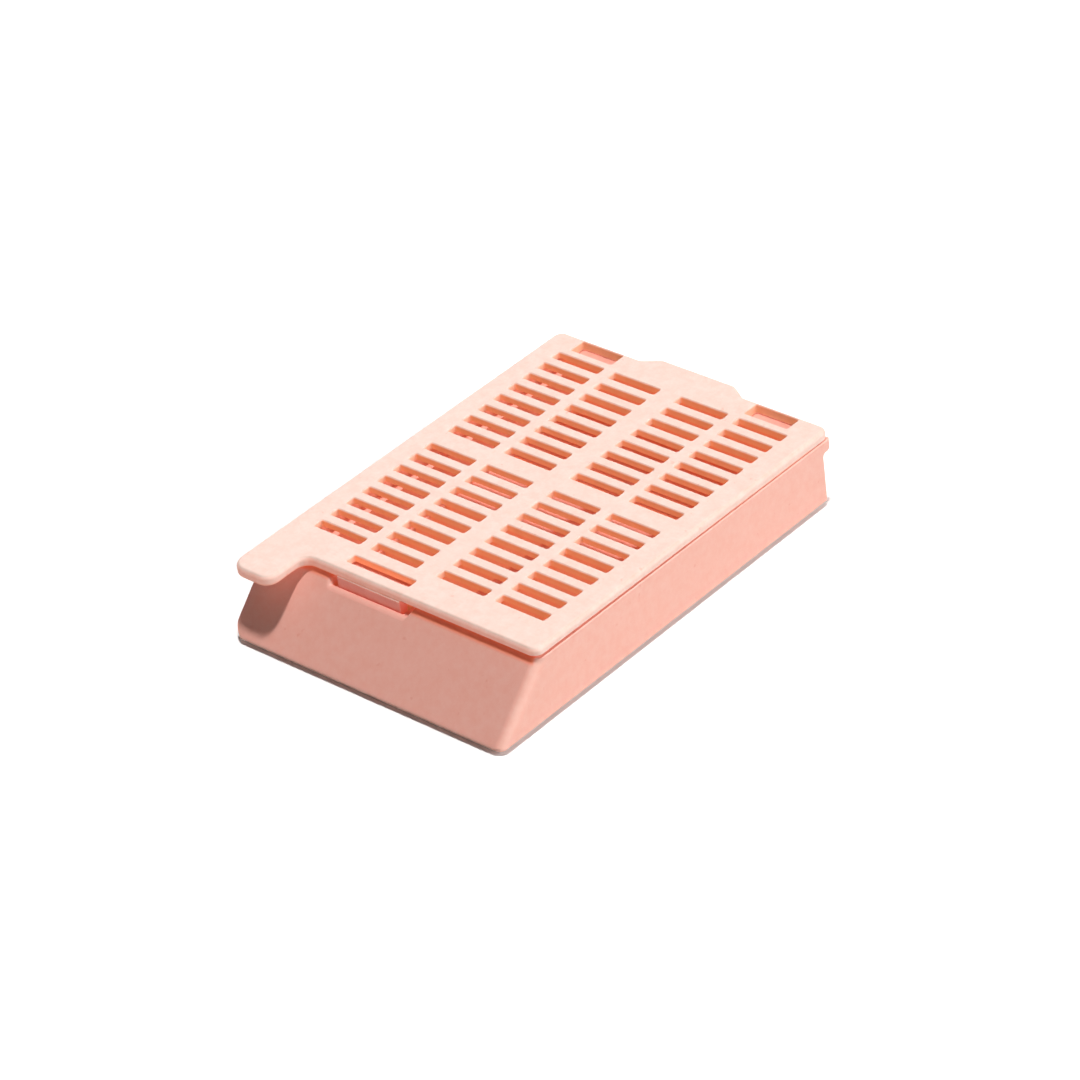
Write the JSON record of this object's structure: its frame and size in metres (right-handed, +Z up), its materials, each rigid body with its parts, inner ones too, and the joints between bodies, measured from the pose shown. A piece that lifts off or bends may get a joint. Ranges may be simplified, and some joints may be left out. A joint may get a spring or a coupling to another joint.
{
  "type": "tissue cassette",
  "caption": "Slotted histology cassette: a flat tray with a slanted writing face and a hinged lid with a thumb tab and front latch.",
  "frame": {"origin": "centre of the underside of the closed cassette's bounding box, on the table", "axes": "+Z up from the tray's floor to the lid, +Y from the writing face to the hinge, +X to the right when facing the writing face"},
  "size_m": [0.0286, 0.0416, 0.0068],
  "materials": {
    "base_plastic": "satin moulded acetal, pale salmon",
    "lid_plastic": "fine-textured moulded acetal, pale salmon"
  },
  "bodies": {
    "base": {"base": "base_plastic"},
    "lid": {"lid": "lid_plastic"}
  },
  "joints": [
    {"name": "lid_hinge", "type": "hinge", "parent": "base", "child": "lid", "pos_m": [0, 0.0198, 0.00525], "axis": [-1, 0, 0], "range_deg": [0, 100]}
  ]
}
